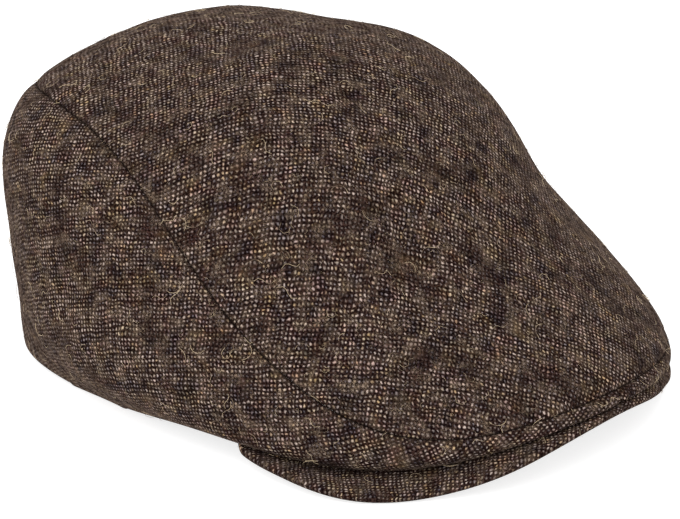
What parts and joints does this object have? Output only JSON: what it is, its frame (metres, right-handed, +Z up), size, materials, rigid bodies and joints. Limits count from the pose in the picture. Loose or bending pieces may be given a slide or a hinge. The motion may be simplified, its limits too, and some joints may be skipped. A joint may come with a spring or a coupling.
{
  "type": "flat cap",
  "caption": "Tweed flat cap with a duckbill front: a rounded crown of a top panel and side panels over a stiff curved peak, open below for the head.",
  "frame": {"origin": "on the table under the middle of the cap", "axes": "+Z up from the table, -Y out over the peak, -X to the wearer's right"},
  "size_m": [0.204, 0.2642, 0.123],
  "materials": {
    "crown_cloth": "woven tweed",
    "side_cloth": "woven tweed",
    "peak_cloth": "woven tweed"
  },
  "bodies": {
    "root": {"top_panel": "crown_cloth", "side_panel_right": "side_cloth", "side_panel_left": "side_cloth", "peak": "peak_cloth"}
  },
  "joints": []
}
